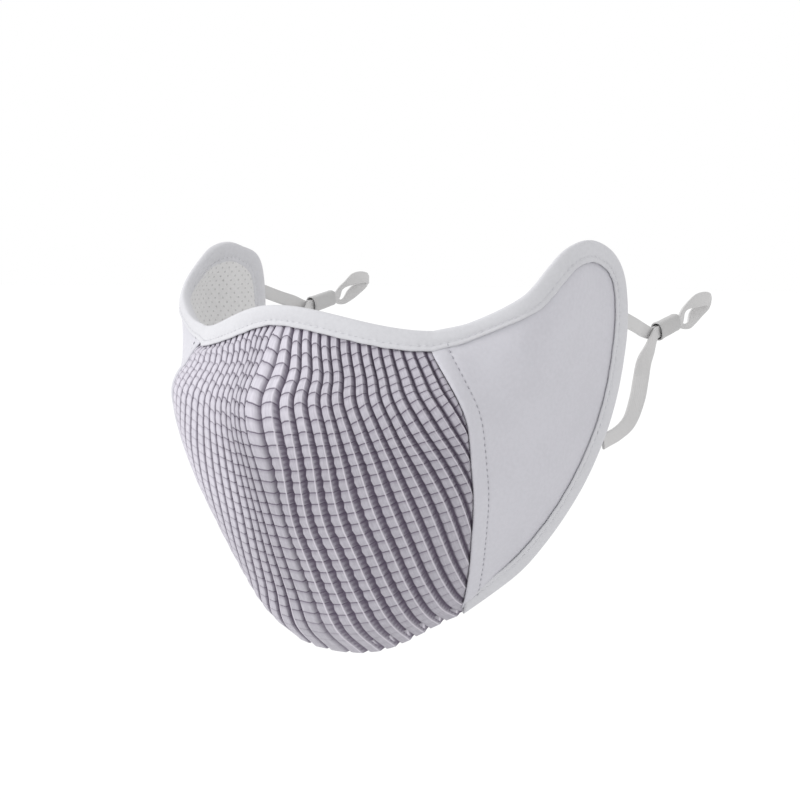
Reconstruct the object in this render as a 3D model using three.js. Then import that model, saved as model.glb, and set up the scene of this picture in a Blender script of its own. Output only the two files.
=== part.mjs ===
// A sun protection face mask: a pleated front panel between two smooth side panels, a perforated
// lining, one folded binding along the edge, and an elastic ear loop with a sleeve on each side.
// Millimetres, +Z up. The front of the mask faces -Y and +X is the wearer's left.
// The origin is the middle of the top edge, where the mask sits on the bridge of the nose.

import * as THREE from 'three';

// ---- Driving dimensions -----------------------------------------------------------------------

const clothThickness = 1.0;
const touchGap = 0.3;
const bandWidth = 7;
const pleatHeight = 1.3;
const pleatsAlongTop = 15;      // pleats from the centre line to the seam, at the top edge
const pleatsAlongBottom = 7.5;  // the outer ones have run into the seam by the bottom edge
const bandTopV = 0.06;          // where the binding ends on the seam, as a share of its length
const bandBottomV = 0.91;
const pleatStartV = 0.062;
const liningTopV = 0.0625;
const liningBottomV = 0.9;
const hemV = 0.92;              // below this the front panel is turned under
const rightSideDrop = 4.2;      // the right cheek flap hangs a little lower than the left one
const rightSideSwell = 4.0;     // and stands out that much further behind the top of its seam
const rightSideSag = 1.2;
const rightLoopRise = 3.3;
const rightLoopSlope = 0.03;
const rightTailRise = 0.6;
const strapWidth = 4.8;
const strapThickness = 1.0;
const sleeveWall = 0.8;
const sleeveCorner = 0.6;

// Front panel, a row per section from the top edge down. The centre line is at (0, midY, midZ) and
// leaves it with the handle (noseX, 0, noseZ). The seam is at (seamY, seamZ), at the cheek's
// width, and the panel reaches it with the handle (pullX, pullY, pullZ).
const frontSections = [
  { v: 0.00, midY: 0.0, midZ: 0.0, noseX: 16, noseZ: 0.6, seamY: 18.2, seamZ: -6.8, pullX: 13, pullY: 11, pullZ: 0.3 },
  { v: 0.06, midY: -0.5, midZ: -6.5, noseX: 15, noseZ: 0.0, seamY: 16.3, seamZ: -13.0, pullX: 13, pullY: 12, pullZ: 1.0 },
  { v: 0.14, midY: -6.0, midZ: -16.5, noseX: 13, noseZ: -0.5, seamY: 15.4, seamZ: -20.8, pullX: 12, pullY: 14, pullZ: 0.0 },
  { v: 0.24, midY: -13.8, midZ: -28.5, noseX: 11, noseZ: 0.0, seamY: 15.6, seamZ: -27.6, pullX: 10, pullY: 15, pullZ: 0.0 },
  { v: 0.31, midY: -13.4, midZ: -37.5, noseX: 12, noseZ: 0.0, seamY: 17.7, seamZ: -35.2, pullX: 9, pullY: 15, pullZ: 0.0 },
  { v: 0.42, midY: -7.8, midZ: -50.5, noseX: 15, noseZ: 0.0, seamY: 20.7, seamZ: -45.3, pullX: 8, pullY: 16, pullZ: 0.0 },
  { v: 0.54, midY: -1.4, midZ: -64.5, noseX: 18, noseZ: 0.0, seamY: 24.9, seamZ: -57.0, pullX: 8, pullY: 16, pullZ: 1.0 },
  { v: 0.66, midY: 5.3, midZ: -78.5, noseX: 21, noseZ: 0.0, seamY: 29.6, seamZ: -69.3, pullX: 8, pullY: 15, pullZ: 2.0 },
  { v: 0.78, midY: 12.2, midZ: -92.3, noseX: 22, noseZ: 0.0, seamY: 34.7, seamZ: -81.3, pullX: 8, pullY: 14, pullZ: 4.0 },
  { v: 0.89, midY: 18.8, midZ: -104.8, noseX: 24, noseZ: 0.0, seamY: 38.8, seamZ: -91.0, pullX: 9, pullY: 12, pullZ: 5.0 },
  { v: 1.00, midY: 30.5, midZ: -114.2, noseX: 23, noseZ: 0.0, seamY: 41.8, seamZ: -98.4, pullX: 13, pullY: 8, pullZ: 6.0 },
];

// Half width of the mask over the cheeks: a row per height, a column per distance back.
const cheekBack = [14, 24, 34, 48, 64, 82];
const cheekRows = [
  { z: -100, halfWidth: [30.5, 33.5, 36.5, 43.5, 52.0, 62.0] },
  { z: -80, halfWidth: [41.0, 45.0, 49.5, 55.5, 60.0, 66.0] },
  { z: -55, halfWidth: [52.5, 57.5, 62.0, 67.0, 69.0, 70.5] },
  { z: -30, halfWidth: [58.0, 62.0, 67.0, 71.0, 73.5, 74.5] },
  { z: -10, halfWidth: [42.0, 56.0, 68.5, 74.0, 75.5, 76.5] },
  { z: 6, halfWidth: [27.5, 51.0, 68.5, 76.5, 76.5, 76.5] },
  { z: 22, halfWidth: [25.5, 45.0, 60.5, 72.0, 75.0, 76.0] },
];

// Outline of a side panel in side view, from the seam's top over the cheek flap, down the rear
// edge and along the jaw to the seam's bottom.
const flapTop = [
  { y: 18.2, z: -6.8 }, { y: 24.5, z: -4.0 }, { y: 32.5, z: 3.3 }, { y: 40.5, z: 12.0 },
  { y: 49.5, z: 18.7 }, { y: 60.0, z: 20.9 }, { y: 69.5, z: 18.3 }, { y: 75.5, z: 13.5 },
  { y: 78.8, z: 7.0 },
];
const flapRear = [
  { y: 80.3, z: -4.0 }, { y: 79.8, z: -16.0 }, { y: 78.2, z: -29.0 }, { y: 75.6, z: -39.5 },
];
const flapBottom = [
  { y: 71.4, z: -50.0 }, { y: 66.1, z: -61.6 }, { y: 60.9, z: -72.6 }, { y: 54.5, z: -83.8 },
  { y: 47.4, z: -92.0 }, { y: 41.8, z: -98.4 },
];

// Ear loop, a row per station. The strap leaves the rear edge, runs through the sleeve, turns round
// at the tip of the tail, comes back through the sleeve and goes down to the lower rear edge.
// turn is the angle of its broad face about its own line: 0 faces sideways. On the left loop the
// run that comes back lies outermost in the sleeve, and on the right loop innermost: rightX and
// rightTurn are the right loop's own x and turn.
const strapStations = [
  { x: 76.2, rightX: 76.2, y: 81.0, z: -5.0, width: 1.0, turn: 0, rightTurn: 0 },
  { x: 74.8, rightX: 75.6, y: 90.0, z: -7.4, width: 1.0, turn: 0, rightTurn: 0 },
  { x: 73.3, rightX: 74.8, y: 96.0, z: -8.9, width: 1.0, turn: 0, rightTurn: 0 },
  { x: 73.2, rightX: 74.5, y: 100.2, z: -10.1, width: 0.9, turn: 0, rightTurn: 0 },
  { x: 73.2, rightX: 74.5, y: 103.0, z: -10.47, width: 0.8, turn: 0, rightTurn: 0 },
  { x: 73.2, rightX: 74.5, y: 104.5, z: -10.15, width: 0.8, turn: 0, rightTurn: 0 },
  { x: 73.2, rightX: 74.5, y: 117.5, z: -7.33, width: 0.8, turn: 0, rightTurn: 0 },
  { x: 73.2, rightX: 74.5, y: 119.0, z: -7.01, width: 0.8, turn: 0, rightTurn: 0 },
  { x: 73.4, rightX: 75.0, y: 122.6, z: -9.1, width: 0.4, turn: -6, rightTurn: 6 },
  { x: 73.4, rightX: 75.6, y: 126.8, z: -9.1, width: 0.5, turn: -12, rightTurn: 10 },
  { x: 72.3, rightX: 75.9, y: 131.4, z: -6.9, width: 0.92, turn: -20, rightTurn: 8 },
  { x: 72.0, rightX: 75.8, y: 136.2, z: -4.5, width: 1.0, turn: -20, rightTurn: 0 },
  { x: 72.8, rightX: 75.0, y: 139.6, z: -2.2, width: 1.0, turn: -14, rightTurn: -12 },
  { x: 74.2, rightX: 73.6, y: 139.0, z: -0.8, width: 1.0, turn: 4, rightTurn: -26 },
  { x: 75.0, rightX: 72.7, y: 134.0, z: -0.3, width: 1.0, turn: 20, rightTurn: -30 },
  { x: 75.1, rightX: 72.5, y: 129.0, z: -0.9, width: 0.92, turn: 22, rightTurn: -26 },
  { x: 74.4, rightX: 72.7, y: 124.4, z: -2.3, width: 0.5, turn: 12, rightTurn: -16 },
  { x: 74.3, rightX: 73.0, y: 121.2, z: -4.0, width: 0.4, turn: 6, rightTurn: -8 },
  { x: 74.5, rightX: 73.2, y: 119.0, z: -7.01, width: 0.8, turn: 0, rightTurn: 0 },
  { x: 74.5, rightX: 73.2, y: 117.5, z: -7.33, width: 0.8, turn: 0, rightTurn: 0 },
  { x: 74.5, rightX: 73.2, y: 104.5, z: -10.15, width: 0.8, turn: 0, rightTurn: 0 },
  { x: 74.6, rightX: 73.2, y: 103.0, z: -10.47, width: 0.8, turn: 0, rightTurn: 0 },
  { x: 75.3, rightX: 72.2, y: 99.8, z: -12.6, width: 0.88, turn: 6, rightTurn: 15 },
  { x: 75.5, rightX: 71.6, y: 97.4, z: -15.4, width: 1.0, turn: 16, rightTurn: 30 },
  { x: 74.5, rightX: 71.9, y: 95.8, z: -19.4, width: 1.1, turn: 38, rightTurn: 50 },
  { x: 73.5, rightX: 72.8, y: 95.8, z: -24.8, width: 1.1, turn: 52, rightTurn: 55 },
  { x: 73.3, rightX: 73.4, y: 94.0, z: -31.5, width: 1.12, turn: 45, rightTurn: 45 },
  { x: 73.2, rightX: 73.2, y: 89.6, z: -38.3, width: 1.1, turn: 25, rightTurn: 25 },
  { x: 73.0, rightX: 73.0, y: 83.4, z: -41.6, width: 1.05, turn: 8, rightTurn: 8 },
  { x: 72.6, rightX: 72.6, y: 76.0, z: -43.6, width: 1.05, turn: 0, rightTurn: 0 },
];
const sleeveStart = { x: 73.85, y: 105.0, z: -10.04 };
const sleeveEnd = { x: 73.85, y: 117.0, z: -7.44 };

// Layers, as heights over the visible face of the cloth. The lining lies against its inner side,
// and the binding folds over the edge of both panels.
const panelInner = -clothThickness;
const liningOuter = panelInner - touchGap;
const liningInner = liningOuter - clothThickness;
const bandInner = touchGap;
const bandOuter = bandInner + clothThickness;
const panelInset = clothThickness + touchGap;

// Mesh density. The rows lie at these shares of the seam, on the front panel as on its neighbours.
const rowLevels = [
  liningTopV, 0.1, 0.15, 0.2, 0.25, 0.3, 0.36, 0.42, 0.48, 0.54, 0.6, 0.66, 0.72, 0.78, 0.84, liningBottomV,
];
const panelLevels = [panelInset / bandWidth * bandTopV, ...rowLevels];
const hemLevels = [0.93, 0.965, 1];
const sideColumns = 9;
const liningFrontColumns = 8;
const bandFrontStations = 10;
const rearStations = 9;
const cornerStep = 3;

// ---- Curves and surfaces ----------------------------------------------------------------------

// A smooth curve through the values at the keys.
function through(keys, values, key) {
  const last = keys.length - 1;
  let i = 0;
  while (i < last - 1 && key > keys[i + 1]) i += 1;
  const slope = (j) => {
    const before = Math.max(j - 1, 0);
    const after = Math.min(j + 1, last);
    return (values[after] - values[before]) / (keys[after] - keys[before]);
  };
  const span = keys[i + 1] - keys[i];
  const s = (key - keys[i]) / span;
  const start = (2 * s ** 3 - 3 * s ** 2 + 1) * values[i];
  const leave = (s ** 3 - 2 * s ** 2 + s) * span * slope(i);
  const end = (3 * s ** 2 - 2 * s ** 3) * values[i + 1];
  const arrive = (s ** 3 - s ** 2) * span * slope(i + 1);
  return start + leave + end + arrive;
}

function ease(x) {
  const s = THREE.MathUtils.clamp(x, 0, 1);
  return s * s * (3 - 2 * s);
}

// Goes smoothly from 0, where the value is at from, to 1, where it is at to.
function fade(value, from, to) {
  return ease((value - from) / (to - from));
}

function cheekWidth(y, z) {
  const back = THREE.MathUtils.clamp(y, cheekBack[0], cheekBack[cheekBack.length - 1]);
  const atBack = cheekRows.map((row) => through(cheekBack, row.halfWidth, back));
  return through(cheekRows.map((row) => row.z), atBack, z);
}

const sectionKeys = frontSections.map((row) => row.v);

function section(v, column) {
  return through(sectionKeys, frontSections.map((row) => row[column]), v);
}

function seamPoint(v) {
  const y = section(v, 'seamY');
  const z = section(v, 'seamZ');
  return new THREE.Vector3(cheekWidth(y, z), y, z);
}

// A point of the front panel: across is 0 on the centre line, 1 on the left seam and -1 on the
// right one, and v goes from 0 at the top edge to 1 at the bottom edge.
function frontPoint(across, v) {
  const a = Math.abs(across);
  const middle = new THREE.Vector3(0, section(v, 'midY'), section(v, 'midZ'));
  const nose = middle.clone().add(new THREE.Vector3(section(v, 'noseX'), 0, section(v, 'noseZ')));
  const seam = seamPoint(v);
  const pull = new THREE.Vector3(section(v, 'pullX'), section(v, 'pullY'), section(v, 'pullZ'));
  const point = new THREE.CubicBezierCurve3(middle, nose, seam.clone().sub(pull), seam).getPoint(a);
  if (across < 0) point.x = -point.x;
  return point;
}

function sidePoint(y, z) {
  return new THREE.Vector3(cheekWidth(y, z), y, z);
}

function sideNormal(y, z) {
  const step = 0.5;
  const slopeY = (cheekWidth(y + step, z) - cheekWidth(y - step, z)) / (2 * step);
  const slopeZ = (cheekWidth(y, z + step) - cheekWidth(y, z - step)) / (2 * step);
  return new THREE.Vector3(1, -slopeY, -slopeZ).normalize();
}

// Outward normal of the front panel, easing into the side panel's at the seam.
function frontNormal(across, v) {
  const step = 0.012;
  const at = THREE.MathUtils.clamp(v, step, 1 - step);
  const inner = THREE.MathUtils.clamp(across, -1 + step, 1 - step);
  const along = frontPoint(inner + step, at).sub(frontPoint(inner - step, at));
  const down = frontPoint(inner, at + step).sub(frontPoint(inner, at - step));
  const normal = down.cross(along).normalize();
  const share = ease((Math.abs(across) - 0.8) / 0.2);
  if (share === 0) return normal;
  const seam = seamPoint(at);
  const side = sideNormal(seam.y, seam.z);
  if (across < 0) side.x = -side.x;
  return normal.lerp(side, share).normalize();
}

// The right cheek flap hangs lower than the left one, and swells out between its seam and its top.
function settle(point) {
  if (point.x >= 0) return point;
  const outward = fade(-point.x, 0, 45);
  const upward = fade(point.z, -45, 21);
  const forward = fade(point.y, 82, 66);
  const behindSeam = fade(point.y, 13, 27) * fade(point.y, 70, 38);
  const underFlap = fade(point.z, -60, -19) * fade(point.z, 20, -4);
  const swell = outward * behindSeam * underFlap;
  point.z -= rightSideDrop * outward * upward * forward + rightSideSag * swell;
  point.x -= rightSideSwell * swell;
  return point;
}

function frontShell(across, v, layer) {
  return settle(frontPoint(across, v).addScaledVector(frontNormal(across, v), layer));
}

function sideShell(side, y, z, layer) {
  const point = sidePoint(y, z).addScaledVector(sideNormal(y, z), layer);
  point.x *= side;
  return settle(point);
}

// ---- Outline of the side panels ---------------------------------------------------------------

const outline = [...flapTop, ...flapRear, ...flapBottom];
const outlineKeys = outline.reduce((keys, row, i) => {
  if (i === 0) return [0];
  const before = outline[i - 1];
  return [...keys, keys[i - 1] + Math.hypot(row.y - before.y, row.z - before.z)];
}, []);
const outlineLength = outlineKeys[outlineKeys.length - 1];
const upperCorner = outlineKeys[flapTop.length - 1];
const lowerCorner = outlineKeys[flapTop.length + flapRear.length];

function outlinePoint(key) {
  const y = through(outlineKeys, outline.map((row) => row.y), key);
  const z = through(outlineKeys, outline.map((row) => row.z), key);
  return new THREE.Vector2(y, z);
}

// The step from the outline into the panel that spans the binding's width. At both ends it turns
// to follow the seam.
function insetStep(key) {
  const step = 0.5;
  const before = outlinePoint(Math.max(key - step, 0));
  const along = outlinePoint(Math.min(key + step, outlineLength)).sub(before).normalize();
  const inward = new THREE.Vector2(along.y, -along.x);
  const edge = outlinePoint(key);
  const half = inward.clone().multiplyScalar(bandWidth / 2);
  const rise = sidePoint(edge.x + half.x, edge.y + half.y).x - sidePoint(edge.x, edge.y).x;
  inward.multiplyScalar(bandWidth / Math.hypot(1, rise / (bandWidth / 2)));
  const turnLength = 16;
  const atTop = 1 - ease(key / turnLength);
  const atBottom = 1 - ease((outlineLength - key) / turnLength);
  const topSeam = seamStep(0, bandTopV);
  const bottomSeam = seamStep(1, bandBottomV);
  return inward.lerp(topSeam, atTop).lerp(bottomSeam, atBottom);
}

function seamStep(from, to) {
  const start = seamPoint(from);
  const end = seamPoint(to);
  return new THREE.Vector2(end.y - start.y, end.z - start.z);
}

function insetPoint(key, distance) {
  return outlinePoint(key).addScaledVector(insetStep(key), distance / bandWidth);
}

// Stations of the outline, as distances along it, one for each column or row of the side panel.
const topKeys = stations(0, upperCorner - cornerStep, sideColumns);
const bottomKeys = stations(outlineLength, lowerCorner + cornerStep, sideColumns);
const rearKeys = stations(upperCorner + cornerStep, lowerCorner - cornerStep, rowLevels.length - 1);

function stations(from, to, count) {
  return Array.from({ length: count + 1 }, (_, i) => THREE.MathUtils.lerp(from, to, i / count));
}

// The side panel's side view inside the binding, filled in between its four edges, with the front
// edge along the seam.
function sideFill(column, row) {
  const along = column / sideColumns;
  const down = (rowLevels[row] - liningTopV) / (liningBottomV - liningTopV);
  const inset = bandWidth + touchGap;
  const top = (c) => insetPoint(c === sideColumns ? upperCorner : topKeys[c], inset);
  const bottom = (c) => insetPoint(c === sideColumns ? lowerCorner : bottomKeys[c], inset);
  const rear = insetPoint(THREE.MathUtils.lerp(upperCorner, lowerCorner, down), inset);
  const seam = seamPoint(rowLevels[row]);
  const filled = new THREE.Vector2();
  filled.addScaledVector(top(column), 1 - down).addScaledVector(bottom(column), down);
  filled.addScaledVector(new THREE.Vector2(seam.y, seam.z), 1 - along).addScaledVector(rear, along);
  filled.addScaledVector(top(0), -(1 - along) * (1 - down));
  filled.addScaledVector(bottom(0), -(1 - along) * down);
  filled.addScaledVector(top(sideColumns), -along * (1 - down));
  filled.addScaledVector(bottom(sideColumns), -along * down);
  return filled;
}

// A node of the whole side panel: sideFill's nodes with a ring of edge nodes round them.
function sideNode(column, row) {
  const lastRow = rowLevels.length + 1;
  if (column > sideColumns) {
    if (row === 0) return insetPoint(upperCorner, panelInset);
    if (row === lastRow) return insetPoint(lowerCorner, panelInset);
    return insetPoint(rearKeys[row - 1], panelInset);
  }
  if (row === 0) return insetPoint(topKeys[column], panelInset);
  if (row === lastRow) return insetPoint(bottomKeys[column], panelInset);
  return sideFill(column, row - 1);
}

// ---- Pleats -----------------------------------------------------------------------------------

function pleatsAtSeam(v) {
  return pleatsAlongTop - 4 * v - (pleatsAlongTop - pleatsAlongBottom - 4) * v ** 3;
}

// Pleats spread apart over the tip of the nose.
function acrossAtPleat(pleat, v) {
  const share = Math.min(Math.abs(pleat) / pleatsAtSeam(v), 1);
  const noseLevel = Math.sin(Math.PI * THREE.MathUtils.clamp(v / 0.46, 0, 1));
  const spread = 0.085 * noseLevel ** 1.2 * Math.sin(2 * Math.PI * share) * (1.3 - share);
  return Math.sign(pleat) * (share + spread);
}

// Height of the folded cloth over the panel: each pleat rises from its valley to a flat face,
// peaks at a pressed line and falls into the next valley.
function pleatRise(pleat, across, v) {
  const size = Math.abs(pleat);
  const phase = size + 0.5 - Math.floor(size + 0.5);
  let form = phase < 0.3 ? phase / 0.3 * 0.8 : 0.8 + (phase - 0.3) / 0.35 * 0.2;
  if (phase > 0.65) form = (1 - phase) / 0.35;
  if (size < 0.5) form = Math.min((0.5 - size) / 0.3, 1);
  const gathered = ease((v - pleatStartV) / 0.05);
  const flattened = 1 - 0.35 * ease((v - 0.7) / 0.3);
  const tucked = 1 - ease((Math.abs(across) - 0.95) / 0.05);
  return pleatHeight * form * gathered * flattened * tucked;
}

// ---- Solids -----------------------------------------------------------------------------------

function meshFrom(name, points, faces, material) {
  const geometry = new THREE.BufferGeometry();
  geometry.setAttribute('position', new THREE.Float32BufferAttribute(points.flatMap((p) => [p.x, p.y, p.z]), 3));
  geometry.setIndex(faces.flat());
  geometry.computeVertexNormals();
  const mesh = new THREE.Mesh(geometry, material);
  mesh.name = name;
  return mesh;
}

// Closes two matching sheets into one solid. faces run counterclockwise seen from the outer side.
function closeSheets(outer, inner, faces) {
  const count = outer.length;
  const all = faces.map((face) => [...face]);
  faces.forEach(([a, b, c]) => all.push([a + count, c + count, b + count]));
  const seen = new Set(faces.flatMap(([a, b, c]) => [`${a},${b}`, `${b},${c}`, `${c},${a}`]));
  seen.forEach((edge) => {
    const [a, b] = edge.split(',').map(Number);
    if (seen.has(`${b},${a}`)) return;
    all.push([b, a, a + count]);
    all.push([b, a + count, b + count]);
  });
  return { points: [...outer, ...inner], faces: all };
}

// Faces of a grid stored column by column. Its first mirrored columns are a mirror image of the
// others, so each quad there is split the other way.
function gridFaces(columns, rows, mirrored) {
  const faces = [];
  for (let c = 0; c < columns; c += 1) {
    for (let r = 0; r < rows; r += 1) {
      const a = c * (rows + 1) + r;
      const b = a + rows + 1;
      if (c < mirrored) faces.push([a, a + 1, b], [a + 1, b + 1, b]);
      else faces.push([a, a + 1, b + 1], [a, b + 1, b]);
    }
  }
  return faces;
}

// Lines of the pleats from the centre line out: the valley and the pressed line of each.
function pleatLines() {
  const lines = [0.2];
  for (let valley = 0.5; valley < pleatsAlongTop; valley += 1) lines.push(valley, valley + 0.6);
  return lines;
}

// One row of half the front panel: where it crosses each pleat line, then its end at the seam.
function pleatRow(v) {
  const seam = pleatsAtSeam(v);
  return [...pleatLines().filter((line) => line < seam - 0.1), seam];
}

function frontPanel(material) {
  const levels = [...panelLevels, ...hemLevels];
  const outer = [];
  const inner = [];
  const rows = levels.map((v) => {
    const half = pleatRow(v);
    const row = [...half.map((pleat) => -pleat).reverse(), ...half].map((pleat) => {
      const across = acrossAtPleat(pleat, v);
      outer.push(frontShell(across, v, pleatRise(pleat, across, v)));
      inner.push(frontShell(across, v, v < hemV ? panelInner : liningOuter - clothThickness));
      return outer.length - 1;
    });
    return { right: row.slice(0, half.length).reverse(), left: row.slice(half.length) };
  });
  const faces = [];
  for (let r = 0; r + 1 < rows.length; r += 1) {
    const [upper, lower] = [rows[r], rows[r + 1]];
    joinRows(upper.left, lower.left, false).forEach((face) => faces.push(face));
    joinRows(upper.right, lower.right, true).forEach((face) => faces.push(face));
    faces.push([upper.right[0], lower.right[0], lower.left[0]], [upper.right[0], lower.left[0], upper.left[0]]);
  }
  const solid = closeSheets(outer, inner, faces);
  return meshFrom('front_panel', solid.points, solid.faces, material);
}

// Joins two rows of nodes. The lower row may hold fewer of them, where pleats end at the seam.
function joinRows(upper, lower, mirrored) {
  const faces = [];
  const shared = lower.length - 2;
  for (let i = 0; i < shared; i += 1) {
    faces.push([upper[i], lower[i], lower[i + 1]], [upper[i], lower[i + 1], upper[i + 1]]);
  }
  const end = lower[lower.length - 1];
  faces.push([upper[shared], lower[shared], end]);
  for (let i = shared; i + 1 < upper.length; i += 1) faces.push([upper[i], end, upper[i + 1]]);
  return mirrored ? faces.map(([a, b, c]) => [a, c, b]) : faces;
}

function sidePanel(name, side, material) {
  const outer = [];
  const inner = [];
  const lastRow = rowLevels.length + 1;
  for (let c = 0; c <= sideColumns + 1; c += 1) {
    const column = side > 0 ? c : sideColumns + 1 - c;
    for (let row = 0; row <= lastRow; row += 1) {
      const place = sideNode(column, row);
      if (column === 0) place.x += touchGap;
      outer.push(sideShell(side, place.x, place.y, 0));
      inner.push(sideShell(side, place.x, place.y, panelInner));
    }
  }
  const mirrored = side > 0 ? 0 : sideColumns + 1;
  const solid = closeSheets(outer, inner, gridFaces(sideColumns + 1, lastRow, mirrored));
  return meshFrom(name, solid.points, solid.faces, material);
}

function lining(material) {
  const outer = [];
  const inner = [];
  const reach = liningFrontColumns + sideColumns;
  for (let c = -reach; c <= reach; c += 1) {
    rowLevels.forEach((v, row) => {
      if (Math.abs(c) <= liningFrontColumns) {
        outer.push(frontShell(c / liningFrontColumns, v, liningOuter));
        inner.push(frontShell(c / liningFrontColumns, v, liningInner));
        return;
      }
      const place = sideFill(Math.abs(c) - liningFrontColumns, row);
      outer.push(sideShell(Math.sign(c), place.x, place.y, liningOuter));
      inner.push(sideShell(Math.sign(c), place.x, place.y, liningInner));
    });
  }
  const solid = closeSheets(outer, inner, gridFaces(2 * reach, rowLevels.length - 1, reach));
  return meshFrom('lining', solid.points, solid.faces, material);
}

// A solid swept through sections that all hold the same number of points, with flat ends.
// Each section runs counterclockwise seen against the sweep. The first mirrored stretches are a
// mirror image of the others.
function sweep(name, sections, material, capFaces, mirrored = 0) {
  const size = sections[0].length;
  const points = sections.flat();
  const faces = [];
  for (let s = 0; s + 1 < sections.length; s += 1) {
    for (let i = 0; i < size; i += 1) {
      const a = s * size + i;
      const b = s * size + (i + 1) % size;
      if (s < mirrored) faces.push([a, b, a + size], [b, b + size, a + size]);
      else faces.push([a, b, b + size], [a, b + size, a + size]);
    }
  }
  const end = (sections.length - 1) * size;
  capFaces.forEach(([a, b, c]) => {
    faces.push([a, c, b], [end + a, end + b, end + c]);
  });
  return meshFrom(name, points, faces, material);
}

// The binding's section: distance in from the folded edge, and layer.
const bandProfile = [
  { into: clothThickness, layer: bandInner },
  { into: clothThickness, layer: liningOuter },
  { into: bandWidth, layer: liningOuter },
  { into: bandWidth, layer: liningInner },
  { into: 0.8, layer: liningInner },
  { into: 0, layer: liningOuter },
  { into: 0, layer: bandInner },
  { into: 0.8, layer: bandOuter },
  { into: bandWidth, layer: bandOuter },
  { into: bandWidth, layer: bandInner },
];
const bandCap = [
  [7, 8, 9], [0, 7, 9], [6, 7, 0], [5, 6, 0], [1, 5, 0], [4, 5, 1], [3, 4, 1], [2, 3, 1],
];

function edgeBinding(material) {
  const rear = stations(upperCorner, lowerCorner, rearStations);
  const keys = [...topKeys.slice(1), ...rear, ...bottomKeys.toReversed()];
  const sideSection = (side) => (key) => bandProfile.map(({ into, layer }) => {
    const place = insetPoint(key, into);
    return sideShell(side, place.x, place.y, layer);
  });
  const front = stations(-1, 1, 2 * bandFrontStations).map((across) => (
    bandProfile.map(({ into, layer }) => frontShell(across, into / bandWidth * bandTopV, layer))
  ));
  const sections = [...keys.toReversed().map(sideSection(-1)), ...front, ...keys.map(sideSection(1))];
  return sweep('edge_binding', sections, material, bandCap, keys.length + bandFrontStations);
}

// The place of a point of the left ear loop on either side. The right loop rides higher, mostly at
// its root, and its tail is a little shorter and higher still.
function loopPoint(side, { x, rightX = x, y, z }) {
  if (side > 0) return new THREE.Vector3(x, y, z);
  const tail = rightTailRise * fade(y, 121, 135);
  const rise = rightLoopRise - rightLoopSlope * (y - 80) + tail;
  return new THREE.Vector3(-rightX, y - tail, z + rise * fade(z, -44, -20));
}

function earLoop(name, side, material) {
  const path = new THREE.CatmullRomCurve3(
    strapStations.map((row) => loopPoint(side, row)), false, 'centripetal');
  const turns = strapStations.map((row) => (side > 0 ? row.turn : row.rightTurn));
  const keys = strapStations.map((row, i) => i / (strapStations.length - 1));
  const sections = [];
  const steps = 2 * (strapStations.length - 1);
  for (let s = 0; s <= steps; s += 1) {
    const t = s / steps;
    const width = strapWidth * through(keys, strapStations.map((row) => row.width), t);
    const turn = THREE.MathUtils.degToRad(through(keys, turns, t));
    const centre = path.getPoint(t);
    const along = path.getTangent(t);
    const face = new THREE.Vector3(side, 0, 0).addScaledVector(along, -side * along.x).normalize();
    face.applyAxisAngle(along, side * turn);
    const across = new THREE.Vector3().crossVectors(face, along).normalize();
    const corners = [[-1, -1], [1, -1], [1, 1], [-1, 1]];
    sections.push(corners.map(([u, w]) => centre.clone()
      .addScaledVector(across, u * width / 2)
      .addScaledVector(face, w * strapThickness / 2)));
  }
  return sweep(name, sections, material, [[0, 1, 2], [0, 2, 3]]);
}

// A short flat sleeve that both runs of the strap pass through.
function sleeve(name, side, material) {
  const start = loopPoint(side, sleeveStart);
  const end = loopPoint(side, sleeveEnd);
  const inner = { wide: strapWidth * 0.8 + 2 * touchGap, deep: 2 * strapThickness + 3 * touchGap };
  const ring = (wide, deep, radius, Shape) => {
    const shape = new Shape();
    shape.moveTo(-deep / 2 + radius, -wide / 2);
    shape.lineTo(deep / 2 - radius, -wide / 2);
    shape.absarc(deep / 2 - radius, -wide / 2 + radius, radius, -Math.PI / 2, 0, false);
    shape.lineTo(deep / 2, wide / 2 - radius);
    shape.absarc(deep / 2 - radius, wide / 2 - radius, radius, 0, Math.PI / 2, false);
    shape.lineTo(-deep / 2 + radius, wide / 2);
    shape.absarc(-deep / 2 + radius, wide / 2 - radius, radius, Math.PI / 2, Math.PI, false);
    shape.lineTo(-deep / 2, -wide / 2 + radius);
    shape.absarc(-deep / 2 + radius, -wide / 2 + radius, radius, Math.PI, 1.5 * Math.PI, false);
    return shape;
  };
  const outer = { wide: inner.wide + 2 * sleeveWall, deep: inner.deep + 2 * sleeveWall };
  const shape = ring(outer.wide, outer.deep, sleeveCorner + sleeveWall, THREE.Shape);
  shape.holes.push(ring(inner.wide, inner.deep, sleeveCorner, THREE.Path));
  const length = start.distanceTo(end);
  const geometry = new THREE.ExtrudeGeometry(shape, { depth: length, bevelEnabled: false, curveSegments: 3 });
  const mesh = new THREE.Mesh(geometry, material);
  mesh.name = name;
  const along = end.clone().sub(start).normalize();
  const sideways = new THREE.Vector3(1, 0, 0).addScaledVector(along, -along.x).normalize();
  const upward = new THREE.Vector3().crossVectors(along, sideways);
  mesh.quaternion.setFromRotationMatrix(new THREE.Matrix4().makeBasis(sideways, upward, along));
  mesh.position.copy(start);
  return mesh;
}

// ---- Materials and assembly -------------------------------------------------------------------

function fabric(color, roughness) {
  return new THREE.MeshStandardMaterial({ color, roughness, metalness: 0 });
}

const pleatedCloth = fabric(0xb6b1bd, 0.85);
const smoothCloth = fabric(0xc6c5cd, 0.8);
const bindingCloth = fabric(0xd3d2d8, 0.8);
const meshCloth = fabric(0xc9c7c8, 0.9);
const elastic = fabric(0xbfc0c0, 0.85);
const sleeveCloth = fabric(0xb9baba, 0.8);

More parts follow.
